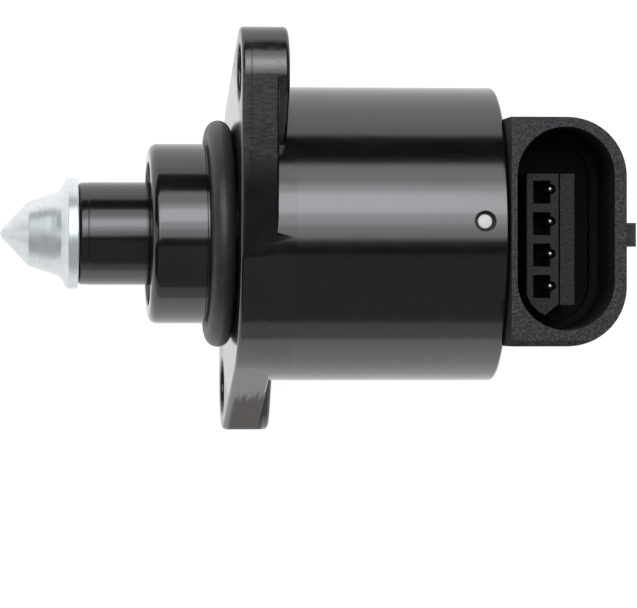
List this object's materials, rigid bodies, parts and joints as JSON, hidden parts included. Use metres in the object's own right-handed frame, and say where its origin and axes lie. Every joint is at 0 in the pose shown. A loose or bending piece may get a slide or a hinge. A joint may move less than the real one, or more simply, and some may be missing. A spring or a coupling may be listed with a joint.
{
  "type": "idle air control valve",
  "caption": "Flange-mounted linear stepper valve with a conical pintle in a guide sleeve, a sealed nose, a cylindrical can and a side-facing plug-in connector.",
  "frame": {"origin": "on the valve's axis, in the flange's front mounting face", "axes": "+X along the valve's axis from the pintle to the connector end, +Z the way the connector's mouth faces, +Y across both"},
  "size_m": [0.0712, 0.0464, 0.038],
  "materials": {
    "black_casting": "gloss black coat on a die casting",
    "sleeve_black": "dark smooth tube",
    "plated_steel": "bright zinc plate over a turned surface",
    "bright_steel": "ground steel",
    "dark_steel": "phosphated spring steel",
    "sheet_steel": "plated sheet steel",
    "natural_moulding": "unpigmented moulding",
    "cage_moulding": "amber moulding",
    "seal_rubber": "matte black rubber",
    "magnet_grey": "sintered dark grey",
    "bush_bronze": "sintered bronze",
    "copper_winding": "enamelled copper wire",
    "black_can": "semi-gloss black drawn steel",
    "connector_black": "grained dark moulding",
    "white_resin": "white resin",
    "tinned_brass": "tinned contact"
  },
  "bodies": {
    "valve_body": {"flange_housing": "black_casting", "guide_sleeve": "sleeve_black", "screw_guide": "natural_moulding", "o_ring": "seal_rubber", "spring_washer": "bright_steel", "bearing_outer_race": "bright_steel", "snap_ring": "dark_steel", "rear_bush": "bush_bronze", "front_stator_cup": "sheet_steel", "front_stator_plate": "sheet_steel", "rear_stator_plate": "sheet_steel", "rear_stator_cup": "sheet_steel", "front_bobbin": "natural_moulding", "rear_bobbin": "natural_moulding", "front_coil": "copper_winding", "rear_coil": "copper_winding", "motor_can": "black_can", "connector_moulding": "connector_black", "staking_plug": "white_resin", "terminal_1": "tinned_brass", "terminal_2": "tinned_brass", "terminal_3": "tinned_brass", "terminal_4": "tinned_brass", "pintle_spring": "bright_steel"},
    "rotor": {"rotor_hub": "cage_moulding", "rotor_magnet": "magnet_grey", "bearing_inner_race": "bright_steel"},
    "cage": {"bearing_cage": "cage_moulding", "bearing_balls": "bright_steel"},
    "plunger": {"pintle": "plated_steel", "lead_screw": "bright_steel"}
  },
  "joints": [
    {"name": "rotor_spin", "type": "hinge", "parent": "valve_body", "child": "rotor", "pos_m": [0.0041, 0, 0], "axis": [1, 0, 0], "range_deg": [0, 2880]},
    {"name": "cage_spin", "type": "hinge", "parent": "valve_body", "child": "cage", "pos_m": [0.0041, 0, 0], "axis": [1, 0, 0], "range_deg": [0, 1080]},
    {"name": "pintle_slide", "type": "slide", "parent": "valve_body", "child": "plunger", "axis": [-1, 0, 0], "range_m": [0, 0.008], "deforming": ["pintle_spring"]}
  ],
  "couplings": [
    {"joint": "cage_spin", "follows": "rotor_spin", "ratio": 0.3608},
    {"joint": "pintle_slide", "follows": "rotor_spin", "m_per_rad": 0.000159}
  ]
}
